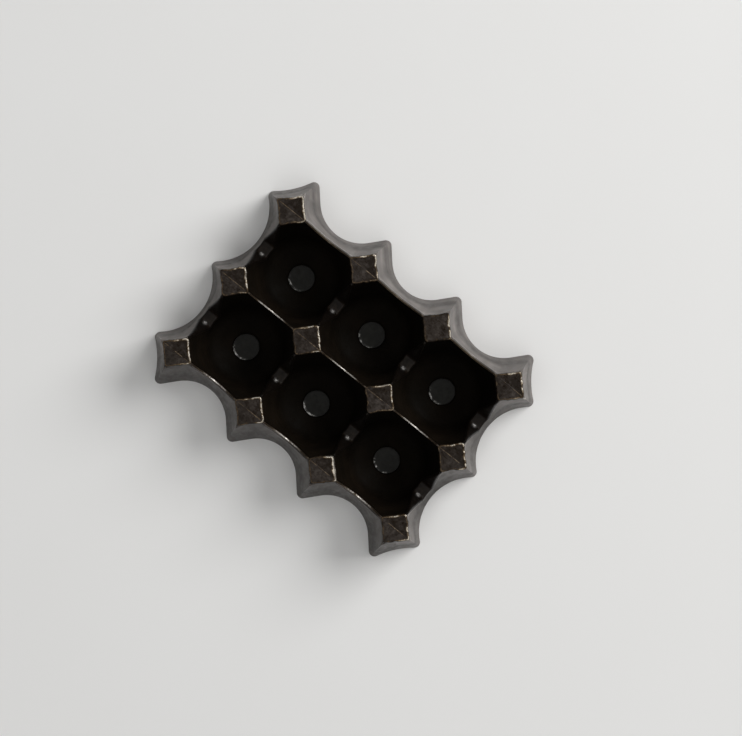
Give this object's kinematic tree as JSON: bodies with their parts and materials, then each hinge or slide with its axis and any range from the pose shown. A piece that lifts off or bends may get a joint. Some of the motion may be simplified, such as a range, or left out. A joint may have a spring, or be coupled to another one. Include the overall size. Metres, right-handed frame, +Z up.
{
  "type": "candle mould",
  "caption": "Low scalloped metal mould with round cups in two rows between capped posts, each cup closed below by a loose base disc.",
  "frame": {"origin": "on the table plane, under the middle of the mould", "axes": "+X along the rows of three cups, +Y across the two rows towards the back row, +Z up"},
  "size_m": [0.18, 0.1366, 0.044],
  "materials": {
    "dark_patina": "dark brown-black patina, satin, slightly mottled",
    "skirt_grey": "dark grey patina, smooth satin with faint upright streaks",
    "worn_bronze": "dark brown patina worn to pale bronze along the edges",
    "disc_grey": "dark grey patina, matt, faintly mottled"
  },
  "bodies": {
    "mould": {"cup_back_1": "dark_patina", "cup_back_2": "dark_patina", "cup_back_3": "dark_patina", "cup_front_1": "dark_patina", "cup_front_2": "dark_patina", "cup_front_3": "dark_patina", "post_cap_back_1": "worn_bronze", "post_cap_back_2": "worn_bronze", "post_cap_back_3": "worn_bronze", "post_cap_back_4": "worn_bronze", "post_cap_front_1": "worn_bronze", "post_cap_front_2": "worn_bronze", "post_cap_front_3": "worn_bronze", "post_cap_front_4": "worn_bronze", "post_cap_middle_1": "worn_bronze", "post_cap_middle_2": "worn_bronze", "post_cap_middle_3": "worn_bronze", "post_cap_middle_4": "worn_bronze", "saddle_bridge_back_1": "dark_patina", "saddle_bridge_back_2": "dark_patina", "saddle_bridge_back_3": "dark_patina", "saddle_bridge_back_4": "dark_patina", "saddle_bridge_front_1": "dark_patina", "saddle_bridge_front_2": "dark_patina", "saddle_bridge_front_3": "dark_patina", "saddle_bridge_front_4": "dark_patina", "seam_strip_back_1": "worn_bronze", "seam_strip_back_2": "worn_bronze", "seam_strip_back_3": "worn_bronze", "seam_strip_front_1": "worn_bronze", "seam_strip_front_2": "worn_bronze", "seam_strip_front_3": "worn_bronze", "seam_strip_middle_1": "worn_bronze", "seam_strip_middle_2": "worn_bronze", "seam_strip_middle_3": "worn_bronze", "skirt_back": "skirt_grey", "skirt_front": "skirt_grey", "skirt_left": "skirt_grey", "skirt_right": "skirt_grey"},
    "base_disc_back_1": {"base_disc_back_1": "disc_grey"},
    "base_disc_back_2": {"base_disc_back_2": "disc_grey"},
    "base_disc_back_3": {"base_disc_back_3": "disc_grey"},
    "base_disc_front_1": {"base_disc_front_1": "disc_grey"},
    "base_disc_front_2": {"base_disc_front_2": "disc_grey"},
    "base_disc_front_3": {"base_disc_front_3": "disc_grey"}
  },
  "joints": [
    {"name": "base_disc_back_1_lift", "type": "slide", "parent": "mould", "child": "base_disc_back_1", "axis": [0, 0, 1], "range_m": [0, 0.05]},
    {"name": "base_disc_back_2_lift", "type": "slide", "parent": "mould", "child": "base_disc_back_2", "axis": [0, 0, 1], "range_m": [0, 0.05]},
    {"name": "base_disc_back_3_lift", "type": "slide", "parent": "mould", "child": "base_disc_back_3", "axis": [0, 0, 1], "range_m": [0, 0.05]},
    {"name": "base_disc_front_1_lift", "type": "slide", "parent": "mould", "child": "base_disc_front_1", "axis": [0, 0, 1], "range_m": [0, 0.05]},
    {"name": "base_disc_front_2_lift", "type": "slide", "parent": "mould", "child": "base_disc_front_2", "axis": [0, 0, 1], "range_m": [0, 0.05]},
    {"name": "base_disc_front_3_lift", "type": "slide", "parent": "mould", "child": "base_disc_front_3", "axis": [0, 0, 1], "range_m": [0, 0.05]}
  ]
}
